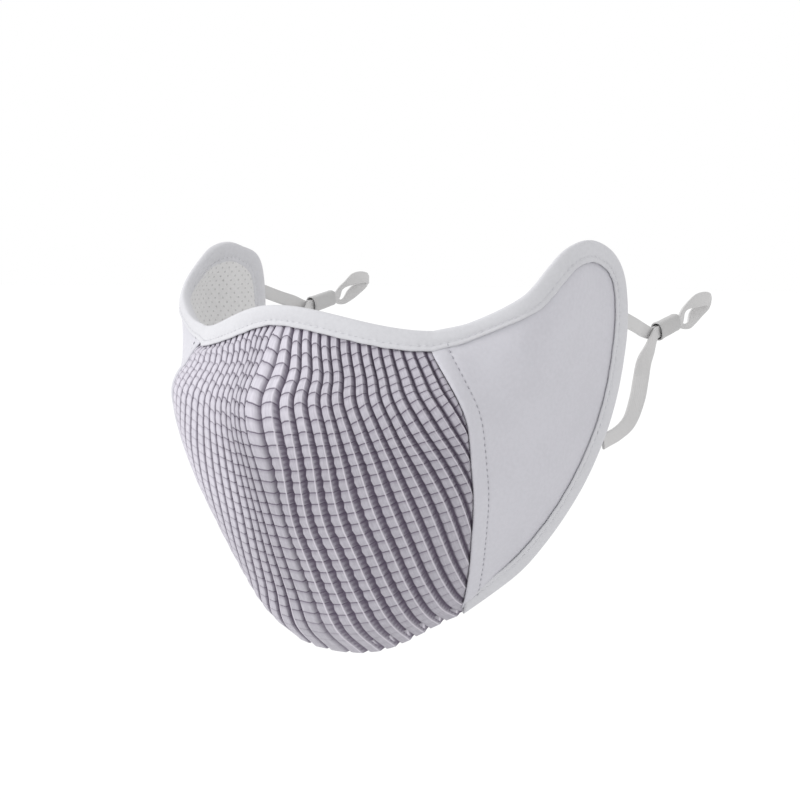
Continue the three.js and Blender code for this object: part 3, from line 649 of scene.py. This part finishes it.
def pleated_material(sizes):
    """The pleats' cloth, with a painted highlight along its ridges, painted shade in and under its creases,
    in short teeth beside its ridges and in its dark valleys, and painted light on its top and right half.
    """
    nodes, shade = cloth("pleated_cloth", sizes.pleat_colour, mottle=0.05, weave=0.0006, weave_depth=0.00005)
    # Dark colour for the painted shade in the valleys, in the creases and beside the ridges; the faint
    # streaks darken towards it too.
    deep = rgba(channel * factor for channel, factor in zip(sizes.pleat_colour, (0.25, 0.20, 0.28)))
    place = nodes.add("UVMap").outputs["UV"]
    apart = nodes.add("SeparateXYZ", {"Vector": place}).outputs
    phase = nodes.math("FRACT", nodes.math("MULTIPLY_ADD", apart["X"], 1 / (PLEAT_UV * MM), 0.5))
    beat = nodes.math("FRACT", nodes.times(apart["Y"], 1 / (CREASE_UV * MM)))
    to_crease = nodes.math("MINIMUM", beat, nodes.math("SUBTRACT", 1.0, beat))
    creasing, ridge_shading = nodes.attribute("creasing"), nodes.attribute("pressed")
    # Painted shade: a dark line along each crease, which also grooves the bump.
    crease = nodes.times(nodes.ramp(to_crease, 0.075, 0.02), creasing)
    # Painted shadow that each crease casts on the top of the cell below it.
    shadow_under_crease = nodes.times(nodes.ramp(beat, 0.42, 0.0), creasing)
    to_ridge = nodes.math("ABSOLUTE", nodes.math("SUBTRACT", phase, RIDGE_PHASE))
    # Painted highlight: a bright line along each pleat's ridge, which also raises the bump a little.
    pressed = nodes.times(nodes.ramp(to_ridge, 0.060, 0.025), ridge_shading)
    # Painted shade: short dark teeth on the side that falls from each ridge.
    tooth = nodes.math("FRACT", nodes.times(apart["Y"], 1 / 0.0018))
    teeth_shade = nodes.ramp(nodes.math("ABSOLUTE", nodes.math("SUBTRACT", tooth, 0.5)), 0.18, 0.32)
    teeth_shade = nodes.times(nodes.times(teeth_shade, nodes.ramp(phase, 0.69, 0.76)), ridge_shading)
    along = nodes.add("Mapping", {"Vector": place, "Scale": (1, 0.08, 1)}).outputs[0]
    streak = nodes.ramp(nodes.noise(along, 2600, 2), 0.35, 0.65)
    # Painted light: a paler copy of the pleats' colour, mixed in where the light falls.
    pale = rgba(channel * 1.5 for channel in sizes.pleat_colour)
    shade = nodes.mix(nodes.times(nodes.attribute("pale"), 0.9), shade, pale)
    shade = nodes.mix(nodes.times(streak, 0.14), shade, deep)
    shade = nodes.mix(nodes.times(shadow_under_crease, 0.34), shade, deep)
    # Painted shade in the pleats' valleys, darker where they start under the binding.
    shade = nodes.mix(nodes.times(nodes.attribute("shade"), 0.95), shade, deep)
    shade = nodes.mix(nodes.times(crease, 0.8), shade, deep)
    shade = nodes.mix(nodes.times(teeth_shade, 0.5), shade, deep)
    # Paints the highlight along the ridges.
    shade = nodes.mix(nodes.times(pressed, 0.8), shade, rgba((0.60, 0.57, 0.63)))
    nodes.surface({"Base Color": shade})
    nodes.relief(nodes.math("SUBTRACT", nodes.times(pressed, 0.5), crease), 0.00015)
    return nodes.material


# ---- Cheek panels ----

# Distance behind the front edge of a cheek panel, and height of its visible face there.
CHEEK_EDGE = np.array([
    (0.0, 0.75), (0.15, 1.15), (0.5, 1.42), (1.2, 1.55), (2.6, 1.5), (4.0, 1.38), (4.9, 1.12), (5.3, 0.92),
    (5.7, 1.08), (6.4, 1.12), (8.0, 0.92), (11.0, 0.66), (16.0, 0.42), (24.0, 0.2),
])
CHEEK_INSET = 2.6
CHEEK_LEVELS, CHEEK_MORE_COLUMNS = 150, 40


def cheek_layout(side):
    """Places and outward directions of a cheek panel's nodes, and their distances behind its front
    edge: a column per distance, then evenly to the rear edge, and a row per level."""
    fine, ahead = np.linspace(0, 1, 161), np.linspace(0, 1, 16, endpoint=False)
    top_v, bottom_v = inset_levels(CHEEK_INSET)
    reach = CHEEK_EDGE[:, 0]
    places, outward, distance = [], [], []
    for down in np.linspace(0, 1, CHEEK_LEVELS + 1):
        v = np.full_like(ahead, top_v + down * (bottom_v - top_v))
        front = cheek_front(side, v)
        across = front + (1 - front) * ahead
        y, z = side_fill(fine, np.full_like(fine, down), CHEEK_INSET).T
        place = np.concatenate([front_point(across, v), side_point(y, z)])
        normal = np.concatenate([front_normal(across, v), side_normal(y, z)])
        run = run_length(place)
        stops = np.concatenate([reach, np.linspace(reach[-1], run[-1], CHEEK_MORE_COLUMNS + 1)[1:]])
        places.append(np.stack([np.interp(stops, run, column) for column in place.T], -1))
        outward.append(unit(np.stack([np.interp(stops, run, column) for column in normal.T], -1)))
        distance.append(stops)
    mirror = np.array((side, 1, 1))
    places, outward = np.array(places).transpose(1, 0, 2), np.array(outward).transpose(1, 0, 2)
    return places * mirror, outward * mirror, np.array(distance).T


def pucker(along, period, seed):
    """Small uneven waves that stitching pulls into cloth, along a seam."""
    uneven = 0.6 + 0.4 * np.sin(along * 0.37 + seed * 2.1) * np.sin(along * 0.23 + seed)
    return np.sin(2 * np.pi * along / period + seed) * uneven


class SUNMASK_OT_cheeks(bpy.types.Operator):
    """Add the smooth cheek panels, with a turned and topstitched front edge"""

    bl_idname = "sunmask.cheeks"
    bl_label = "Cheek panels"

    def execute(self, context):
        sizes = context.scene.sun_mask
        material = smooth_material("smooth_cloth", sizes.cheek_colour)
        down_mm = np.linspace(0, 100, CHEEK_LEVELS + 1)
        for side, label in ((1, "left"), (-1, "right")):
            store = {}
            places, outward, distance = cheek_layout(side)

            def place(c, r):
                if side < 0:
                    c = len(places) - 1 - c
                u = distance[c, r]
                height = np.interp(u, CHEEK_EDGE[:, 0], CHEEK_EDGE[:, 1])
                height = height * (0.25 + 0.75 * fade(down_mm[r], 1.5, 8) * fade(down_mm[r], 99, 94))
                wave = pucker(down_mm[r], 3.1, 0.4 + side)
                seam_near = np.exp(-(((u - CHEEK_STITCH) / 2.2) ** 2))
                edge_near = np.exp(-((u / 5) ** 2))
                height = height + 0.07 * wave * seam_near + 0.05 * pucker(down_mm[r], 9.0, 1.1) * edge_near
                store["uv"] = (u, down_mm[r])
                return settle(places[c, r] + outward[c, r] * height[:, None])

            bm, c, r = grid_bmesh(len(places) - 1, CHEEK_LEVELS, place)
            write_uv(bm, *store["uv"])
            piece = finish_piece(
                bm, f"cheek_panel_{label}", material, [f"side_panel_{label}"]
            )
            thicken(piece, 0.7)
        return {"FINISHED"}


def smooth_material(name, colour, **kwargs):
    nodes, shade = cloth(name, colour, mottle=0.025, **kwargs)
    nodes.surface({"Base Color": shade})
    return nodes.material


# ---- Lining ----


class SUNMASK_OT_lining(bpy.types.Operator):
    """Add the perforated knit lining"""

    bl_idname = "sunmask.lining"
    bl_label = "Lining"

    def execute(self, context):
        sizes = context.scene.sun_mask
        front_columns, side_columns, rows = 40, 36, 60
        inset = 5.5
        reach = front_columns + side_columns
        store = {}
        top_v, bottom_v = inset_levels(inset)

        def place(c, r):
            column = c - reach
            size = np.abs(column)
            down = r / rows
            on_front = size <= front_columns
            points = np.zeros((len(c), 3))
            points[on_front] = front_shell(
                column[on_front] / front_columns,
                top_v + down[on_front] * (bottom_v - top_v),
                LINING_OUTER - 0.1,
            )
            along = (size[~on_front] - front_columns) / side_columns
            yz = side_fill(along, down[~on_front], inset)
            sign = np.sign(column[~on_front])
            y, z = yz.T
            shell = side_point(y, z) + side_normal(y, z) * (LINING_OUTER - 0.1)
            shell[:, 0] *= sign
            points[~on_front] = settle(shell)
            middle = points[r == rows // 2]
            run = run_length(middle[np.argsort(c[r == rows // 2])])
            store["uv"] = (run[c], -points[:, 2])
            return points

        bm, c, r = grid_bmesh(2 * reach, rows, place)
        write_uv(bm, *store["uv"])
        piece = finish_piece(bm, "mesh_lining", lining_material(sizes), ["lining"])
        thicken(piece, 0.6)
        return {"FINISHED"}


def lining_material(sizes):
    nodes, shade = cloth("mesh_lining", sizes.lining_colour, mottle=0.03)
    place = nodes.add("UVMap").outputs["UV"]
    pitch = 0.0031
    holes = None
    for shift in (0.0, 0.5):
        mapping = {"Vector": place, "Location": (shift, shift, 0), "Scale": (1 / pitch, 1 / pitch, 1)}
        moved = nodes.add("Mapping", mapping)
        cell = nodes.add("VectorMath", {0: moved.outputs[0]}, operation="FRACTION").outputs[0]
        offset = nodes.add("VectorMath", {0: cell, 1: (0.5, 0.5, 0)}, operation="SUBTRACT").outputs[0]
        flat = nodes.add("VectorMath", {0: offset, 1: (1, 1, 0)}, operation="MULTIPLY").outputs[0]
        away = nodes.add("VectorMath", {0: flat}, operation="LENGTH").outputs["Value"]
        hole = nodes.ramp(away, 0.14, 0.08)
        holes = hole if holes is None else nodes.math("MAXIMUM", holes, hole)
    dark = tuple(channel * 0.55 for channel in sizes.lining_colour)
    shade = nodes.mix(nodes.times(holes, 0.45), shade, rgba(dark))
    nodes.surface({"Base Color": shade})
    nodes.relief(nodes.math("SUBTRACT", 1.0, holes), 0.0001)
    return nodes.material


# ---- Edge binding ----

# Distance in from the folded edge, and height, round the folded strip of cloth.
BAND_SECTION = np.array([
    (0.05, -0.5), (0.0, 0.1), (0.08, 0.65), (0.35, 1.02), (0.9, 1.24), (1.8, 1.34), (3.0, 1.36), (4.1, 1.27),
    (4.8, 1.08), (5.2, 0.93), (5.6, 1.06), (6.2, 1.17), (6.7, 1.12), (6.95, 0.92), (7.0, 0.66), (6.85, 0.45),
    (5.0, 0.40), (2.6, 0.35), (1.2, 0.1), (1.0, -0.5), (1.2, -1.1), (2.6, -1.25), (5.0, -1.3), (6.9, -1.35),
    (7.0, -1.6), (6.9, -1.95), (6.4, -2.1), (5.6, -2.05), (5.2, -1.92), (4.8, -2.06), (3.6, -2.25),
    (2.0, -2.25), (0.9, -2.1), (0.3, -1.7),
])


def edge_rail(spacing):
    """Stations along the whole edge, that far apart: the right side from the jaw to the nose, the
    front, and the left side. Each holds its side, 0 for the front, and its key there."""
    keys = np.linspace(OUTLINE_LENGTH, 0, int(OUTLINE_LENGTH / spacing))
    front = np.linspace(-1, 1, int(FRONT_EDGE_RUN / spacing))
    return [(-1, key) for key in keys] + [(0, a) for a in front[1:-1]] + [(1, key) for key in keys[::-1]]


def band_top(across):
    """How far down the front the binding's lower border lies: a little lower on the right half."""
    return BAND_TOP_V * (1 + RIGHT_BAND_WIDENING * fade(-across, 0.05, 0.5) * fade(-across, 1.0, 0.85))


def edge_points(parts, into, layer):
    """The points of the edge's cross-section at one place of its profile, for all stations."""
    kinds = np.array([kind for kind, key in parts])
    keys = np.array([key for kind, key in parts], float)
    into, layer = (np.broadcast_to(value, len(parts)).astype(float) for value in (into, layer))
    points = np.zeros((len(parts), 3))
    for side in (-1, 1):
        on = kinds == side
        yz = inset_point(keys[on], into[on])
        points[on] = side_shell(side, yz[:, 0], yz[:, 1], layer[on])
    on = kinds == 0
    points[on] = front_shell(keys[on], into[on] / BAND_WIDTH * band_top(keys[on]), layer[on])
    return points


def run_length(points):
    return np.concatenate([[0], np.cumsum(np.linalg.norm(np.diff(points, axis=0), axis=1))])


class SUNMASK_OT_binding(bpy.types.Operator):
    """Add the binding folded over the edge of the mask"""

    bl_idname = "sunmask.binding"
    bl_label = "Edge binding"

    def execute(self, context):
        sizes = context.scene.sun_mask
        parts = edge_rail(0.75)
        run = run_length(edge_points(parts, 0.0, 0.0))
        table = []
        for into, layer in BAND_SECTION:
            outside = layer > -0.5
            gather = math.exp(-(((into - BAND_STITCH) / 1.5) ** 2))
            wave = pucker(run, 2.9, 0.3 if outside else 1.9)
            swell = 0.09 * wave * gather * (1 if outside else -1)
            creep = 0.10 * pucker(run, 7.3, 2.0) * math.exp(-((into - BAND_WIDTH) ** 2))
            table.append(edge_points(parts, into + creep, layer + swell))
        table = np.array(table)
        size = len(BAND_SECTION)
        around = run_length(BAND_SECTION)
        store = {}

        def place(c, r):
            store["uv"] = (around[np.minimum(c, size - 1)], run[r])
            return table[c % size, r]

        bm, c, r = grid_bmesh(size, len(parts) - 1, place)
        write_uv(bm, *store["uv"])
        close_tube(bm)
        material = smooth_material("binding", sizes.binding_colour)
        piece = finish_piece(bm, "edge_band", material, ["edge_binding"])
        return {"FINISHED"}


# ---- Ear loops ----


def loop_point(side, points):
    """The places of points of the left ear loop on either side: the right loop rides higher."""
    points = np.array(points, float)
    if side < 0:
        tail = RIGHT_TAIL_RISE * fade(points[..., 1], 121, 135)
        rise = RIGHT_LOOP_RISE - RIGHT_LOOP_SLOPE * (points[..., 1] - 80) + tail
        points[..., 2] += rise * fade(points[..., 2], -44, -20)
        points[..., 1] -= tail
        points[..., 0] *= -1
    return points


def strap_frames(side, spacing):
    """Centres, directions and half widths along an ear loop."""
    own_x, own_turn = (0, 5) if side > 0 else (1, 6)
    centres = loop_point(side, STRAP_STATIONS[:, [own_x, 2, 3]])
    chord = run_length(centres)
    stops = np.linspace(0, chord[-1], int(chord[-1] / spacing))
    path = np.stack([through(chord, centres[:, k], stops) for k in range(3)], -1)
    width = through(chord, STRAP_STATIONS[:, 4], stops)
    turn = np.radians(through(chord, STRAP_STATIONS[:, own_turn], stops)) * side
    along = unit(np.gradient(path, axis=0))
    face = np.array([side, 0.0, 0.0]) - along * (side * along[:, :1])
    face = unit(face)
    other = np.cross(along, face)
    face = face * np.cos(turn)[:, None] + other * np.sin(turn)[:, None]
    across = unit(np.cross(face, along))
    return path, face, across, width, stops


class SUNMASK_OT_loops(bpy.types.Operator):
    """Add the flat elastic ear loops"""

    bl_idname = "sunmask.loops"
    bl_label = "Ear loops"

    def execute(self, context):
        sizes = context.scene.sun_mask
        material = elastic_material(sizes)
        half_width, half_depth = sizes.strap_width * 500, 0.45
        ring = [(-1.0, 0), (-0.97, -0.6), (-0.88, -0.95), (-0.5, -1)]
        ring += [(0, -1), (0.5, -1), (0.88, -0.95), (0.97, -0.6)]
        ring = np.array(ring + [(-u, -w) for u, w in ring])
        for side, label in ((1, "left"), (-1, "right")):
            path, face, across, width, stops = strap_frames(side, 0.8)
            spots = np.array(
                [path + across * (u * half_width * width)[:, None] + face * (w * half_depth) for u, w in ring]
            )
            size = len(ring)
            girth = run_length(ring * (half_width, half_depth))
            store = {}

            def place(c, r):
                store["uv"] = (girth[np.minimum(c, size - 1)], stops[r])
                return spots[c % size, r]

            bm, c, r = grid_bmesh(size, len(stops) - 1, place)
            write_uv(bm, *store["uv"])
            close_tube(bm)
            finish_piece(bm, f"elastic_{label}", material, [f"ear_loop_{label}"])
        return {"FINISHED"}


def elastic_material(sizes):
    nodes, shade = cloth("elastic", sizes.elastic_colour, mottle=0.01, weave_depth=0.00001)
    place = nodes.add("UVMap").outputs["UV"]
    ribs = nodes.waves(place, 1 / 0.0009 / 2, "X")
    nodes.surface({"Base Color": shade})
    nodes.relief(ribs, 0.00003)
    return nodes.material


class SUNMASK_OT_sleeves(bpy.types.Operator):
    """Add the cloth sleeve that holds both runs of each ear loop together"""

    bl_idname = "sunmask.sleeves"
    bl_label = "Loop sleeves"

    def execute(self, context):
        sizes = context.scene.sun_mask
        material = smooth_material("sleeve_cloth", sizes.sleeve_colour)
        # share of the length, and height and depth of the ring there
        profile = [
            (0.05, 0.86, 0.80), (-0.01, 0.90, 0.86), (-0.03, 0.98, 0.98), (0.0, 1.04, 1.08),
            (0.05, 1.06, 1.12), (0.12, 1.02, 1.04), (0.3, 0.99, 1.0), (0.5, 1.0, 1.0),
            (0.7, 0.99, 1.0), (0.88, 0.96, 0.98), (0.95, 0.98, 1.02), (1.0, 0.95, 0.98),
            (1.02, 0.88, 0.88), (0.97, 0.82, 0.78),
        ]
        half_tall, half_deep = 2.95, 2.1
        for side, label in ((1, "left"), (-1, "right")):
            start = loop_point(side, SLEEVE_START)
            end = loop_point(side, SLEEVE_END)
            along = (end - start) / np.linalg.norm(end - start)
            sideways = np.array([side, 0, 0]) - along * (side * along[0])
            sideways = sideways / np.linalg.norm(sideways)
            upward = np.cross(along, sideways) * side
            count = 40
            angles = np.linspace(0, 2 * np.pi, count, endpoint=False)
            square = 0.72
            ring_u = np.sign(np.cos(angles)) * np.abs(np.cos(angles)) ** square
            ring_w = np.sign(np.sin(angles)) * np.abs(np.sin(angles)) ** square
            spots = []
            store = {}
            for share, tall, deep in profile:
                centre = start + (end - start) * share
                centre = centre + np.outer(ring_u * half_deep * deep, sideways)
                spots.append(centre + np.outer(ring_w * half_tall * tall, upward))
            spots = np.array(spots)

            def place(c, r):
                store["uv"] = (c * 0.35, r * 0.9)
                return spots[r, c % count]

            bm, c, r = grid_bmesh(count, len(profile) - 1, place)
            write_uv(bm, *store["uv"])
            close_tube(bm, capped=False)
            piece = finish_piece(bm, f"sleeve_{label}", material, [f"loop_sleeve_{label}"])
            thicken(piece, 0.35)
        return {"FINISHED"}


# ---- Stitches ----


def add_stitches(bm, points, normals, length, gap, width, lift):
    """Short thread stitches along a line of points."""
    run = run_length(points)

    def at(stop, values):
        return np.array([np.interp(stop, run, column) for column in values.T])

    start = 0.5 * gap
    while start + length < run[-1]:
        ends = at(start, points), at(start + length, points)
        normal = at(start + length / 2, normals)
        middle = (ends[0] + ends[1]) / 2
        along = Vector(ends[1] - ends[0]).normalized()
        outward = Vector(normal).normalized()
        across = outward.cross(along).normalized()
        outward = along.cross(across)
        axes = Matrix((along, across, outward)).transposed().to_4x4()
        scale = Matrix.Diagonal((length / 2, width / 2, width / 2, 1.0))
        place = Matrix.Translation(Vector(middle + np.array(outward) * lift))
        unitless = Matrix.Scale(MM, 4)
        bmesh.ops.create_icosphere(bm, subdivisions=1, radius=1.0, matrix=unitless @ place @ axes @ scale)
        start += length + gap


class SUNMASK_OT_stitches(bpy.types.Operator):
    """Add the topstitching of the binding and of the cheek panels"""

    bl_idname = "sunmask.stitches"
    bl_label = "Topstitching"

    def execute(self, context):
        sizes = context.scene.sun_mask
        thread = smooth_material("thread", sizes.thread_colour)
        length, width = sizes.stitch_length * 1000, sizes.thread_width * 1000
        parts = edge_rail(1.0)
        bm = bmesh.new()
        for layer, out in ((1.0, 1.0), (-1.95, -1.0)):
            rail = edge_points(parts, BAND_STITCH, layer)
            normal = (edge_points(parts, BAND_STITCH, layer + 0.2) - rail) * out
            add_stitches(bm, rail, normal, length, 0.7, width, 0.02)
        finish_piece(bm, "binding_stitches", thread)
        column = int(np.argmin(np.abs(CHEEK_EDGE[:, 0] - CHEEK_STITCH)))
        dark_thread = smooth_material("seam_thread", sizes.seam_colour)
        for side, label in ((1, "left"), (-1, "right")):
            bm = bmesh.new()
            places, outward, _ = cheek_layout(side)
            rail = settle(places[column] + outward[column] * 0.98)
            add_stitches(bm, rail, outward[column], 1.2, 0.9, 0.42, 0.03)
            finish_piece(bm, f"seam_stitches_{label}", dark_thread)
        return {"FINISHED"}


# ---- Stage ----


class SUNMASK_OT_stage(bpy.types.Operator):
    """Add the pale floor, the soft lights and the camera"""

    bl_idname = "sunmask.stage"
    bl_label = "Stage"

    def execute(self, context):
        scene = context.scene
        scene.view_settings.view_transform = "Standard"
        scene.view_settings.look = "None"
        world = bpy.data.worlds.new("studio")
        world.use_nodes = True
        world.node_tree.nodes["Background"].inputs["Color"].default_value = (1, 1, 1, 1)
        world.node_tree.nodes["Background"].inputs["Strength"].default_value = 1.0
        scene.world = world
        bm = bmesh.new()
        lowered = Matrix.Translation((0, 0, -0.3))
        bmesh.ops.create_circle(bm, cap_ends=True, segments=96, radius=6.0, matrix=lowered)
        mesh = bpy.data.meshes.new("floor")
        bm.to_mesh(mesh)
        bm.free()
        floor = bpy.data.objects.new("floor", mesh)
        scene.collection.objects.link(floor)
        nodes = Nodes("floor_paper")
        nodes.surface({"Base Color": (0.88, 0.88, 0.88, 1), "Roughness": 1.0, "Specular IOR Level": 0.0})
        mesh.materials.append(nodes.material)
        light = bpy.data.lights.new("key", "SUN")
        light.energy = 1.7
        light.angle = math.radians(40)
        key = bpy.data.objects.new("key", light)
        towards = Vector((-0.62, -0.69, 0.36))
        key.matrix_world = towards.to_track_quat("Z", "Y").to_matrix().to_4x4()
        scene.collection.objects.link(key)
        self.add_camera(scene)
        return {"FINISHED"}

    def add_camera(self, scene):
        azimuth, elevation, roll = math.radians(37), math.radians(6), math.radians(0.5)
        level = math.cos(elevation)
        back = Vector((math.sin(azimuth) * level, -math.cos(azimuth) * level, math.sin(elevation)))
        right = Vector((math.cos(azimuth), math.sin(azimuth), 0))
        up = back.cross(right)
        right, up = right * math.cos(roll) + up * math.sin(roll), up * math.cos(roll) - right * math.sin(roll)
        sideways, lower, distance = 0.03726, 0.02952, 0.65
        place = right * sideways - up * lower + back * distance
        data = bpy.data.cameras.new("camera")
        data.sensor_width = 36
        data.lens = 94.1
        camera = bpy.data.objects.new("camera", data)
        camera.matrix_world = Matrix.Translation(place) @ Matrix((right, up, back)).transposed().to_4x4()
        scene.collection.objects.link(camera)
        scene.camera = camera


# ---- Settings, panel and main ----


def colour_setting(name, description, default):
    return FloatVectorProperty(
        name=name, description=description, default=default, subtype="COLOR", min=0.0, max=1.0, size=3
    )


def length_setting(name, description, default):
    return FloatProperty(name=name, description=description, default=default, min=0.0, unit="LENGTH")


class SunMaskSettings(bpy.types.PropertyGroup):
    """Sizes and colours of the mask's dress"""

    pleat_height: length_setting("Pleat height", "Height of a pleat's ridge over the panel", 0.0013)
    strap_width: length_setting("Strap width", "Width of the flat elastic", 0.0048)
    stitch_length: length_setting("Stitch length", "Length of one of the binding's stitches", 0.0015)
    thread_width: length_setting("Thread width", "Width of the binding's thread", 0.0003)
    pleat_colour: colour_setting("Pleated cloth", "Colour of the pleated front", (0.405, 0.39, 0.433))
    cheek_colour: colour_setting("Smooth cloth", "Colour of the cheek panels", (0.545, 0.54, 0.58))
    binding_colour: colour_setting("Binding", "Colour of the edge binding", (0.56, 0.56, 0.585))
    lining_colour: colour_setting("Lining", "Colour of the perforated lining", (0.64, 0.635, 0.635))
    elastic_colour: colour_setting("Elastic", "Colour of the ear loops", (0.54, 0.535, 0.535))
    sleeve_colour: colour_setting("Sleeve", "Colour of the sleeves on the ear loops", (0.45, 0.447, 0.447))
    thread_colour: colour_setting("Thread", "Colour of the binding's topstitching", (0.60, 0.60, 0.63))
    seam_colour: colour_setting("Seam thread", "Colour of the cheek panels' topstitching", (0.33, 0.33, 0.36))


OPERATORS = (
    SUNMASK_OT_stage,
    SUNMASK_OT_front,
    SUNMASK_OT_cheeks,
    SUNMASK_OT_lining,
    SUNMASK_OT_binding,
    SUNMASK_OT_loops,
    SUNMASK_OT_sleeves,
    SUNMASK_OT_stitches,
)


class SUNMASK_PT_panel(bpy.types.Panel):
    """Lists the mask's pieces"""

    bl_idname = "SUNMASK_PT_panel"
    bl_label = "Sun mask"
    bl_space_type = "VIEW_3D"
    bl_region_type = "UI"
    bl_category = "Mask"

    def draw(self, context):
        for operator in OPERATORS:
            self.layout.operator(operator.bl_idname)


CLASSES = (SunMaskSettings, *OPERATORS, SUNMASK_PT_panel)


def register():
    for cls in CLASSES:
        bpy.utils.register_class(cls)
    bpy.types.Scene.sun_mask = PointerProperty(type=SunMaskSettings)


def unregister():
    del bpy.types.Scene.sun_mask
    for cls in reversed(CLASSES):
        bpy.utils.unregister_class(cls)


def main():
    register()
    for operator in OPERATORS:
        getattr(bpy.ops.sunmask, operator.bl_idname.split(".")[1])()
    bpy.context.view_layer.update()


if __name__ == "__main__":
    main()
